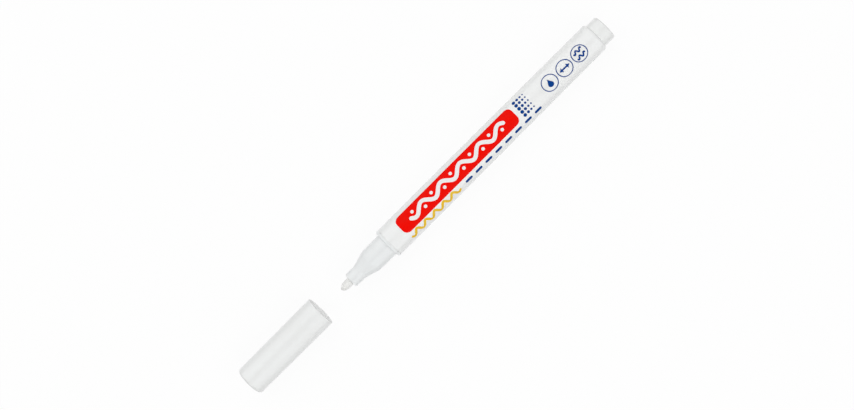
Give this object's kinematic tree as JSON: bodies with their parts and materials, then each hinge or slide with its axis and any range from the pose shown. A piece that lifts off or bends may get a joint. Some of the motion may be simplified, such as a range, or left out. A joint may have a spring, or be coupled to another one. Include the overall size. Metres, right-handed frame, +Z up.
{
  "type": "liquid chalk marker",
  "caption": "Slim round white valve marker for liquid chalk, lying with its plain cap pulled off in line, with a sprung bullet nib, a ball in its reservoir and a plugged tail.",
  "frame": {"origin": "on the ground under the axis, at the middle of the whole length with the cap pulled off", "axes": "+X from the cap and the nib towards the tail, along the marker's axis; +Z up; the marker lies on its side with its printed side up"},
  "size_m": [0.1746, 0.0116, 0.0115],
  "materials": {
    "barrel_plastic": "satin white moulded polypropylene",
    "plug_plastic": "satin white moulded polypropylene",
    "nose_plastic": "satin white moulded polypropylene",
    "cap_plastic": "satin white moulded polypropylene",
    "liner_plastic": "plain white moulded polyethylene",
    "nib_fibre": "bonded white fibre, cut and ground to a bullet point",
    "buffer_fibre": "porous white felt",
    "valve_plastic": "natural acetal",
    "gasket_rubber": "soft black rubber",
    "spring_steel": "drawn stainless wire",
    "ball_steel": "polished steel ball",
    "liquid_chalk": "white pigment in water",
    "print_red": "red pad-printed ink",
    "print_blue": "blue pad-printed ink",
    "print_yellow": "yellow pad-printed ink",
    "print_white": "white pad-printed ink"
  },
  "bodies": {
    "marker": {"barrel": "barrel_plastic", "tail_plug": "plug_plastic", "nose_cone": "nose_plastic", "nib_buffer": "buffer_fibre", "valve_body": "valve_plastic", "spring_cage": "valve_plastic", "valve_spring": "spring_steel", "liquid_chalk": "liquid_chalk"},
    "nib": {"nib": "nib_fibre"},
    "valve_stem": {"valve_stem": "valve_plastic", "valve_gasket": "gasket_rubber"},
    "mixing_ball": {"mixing_ball": "ball_steel"},
    "cap": {"cap_shell": "cap_plastic", "cap_liner": "liner_plastic"}
  },
  "joints": [
    {"name": "cap_slide", "type": "slide", "parent": "marker", "child": "cap", "axis": [1, 0, 0], "range_m": [0, 0.03275]},
    {"name": "nib_press", "type": "slide", "parent": "marker", "child": "nib", "axis": [1, 0, 0], "range_m": [0, 0.002], "stiffness_N_per_m": 300, "springref_m": -0.006},
    {"name": "valve_push", "type": "slide", "parent": "marker", "child": "valve_stem", "axis": [1, 0, 0], "range_m": [0, 0.002], "deforming": ["valve_spring"]},
    {"name": "ball_roll", "type": "slide", "parent": "marker", "child": "mixing_ball", "axis": [1, 0, 0], "range_m": [0, 0.07596]}
  ],
  "couplings": [
    {"joint": "valve_push", "follows": "nib_press", "ratio": 1}
  ]
}
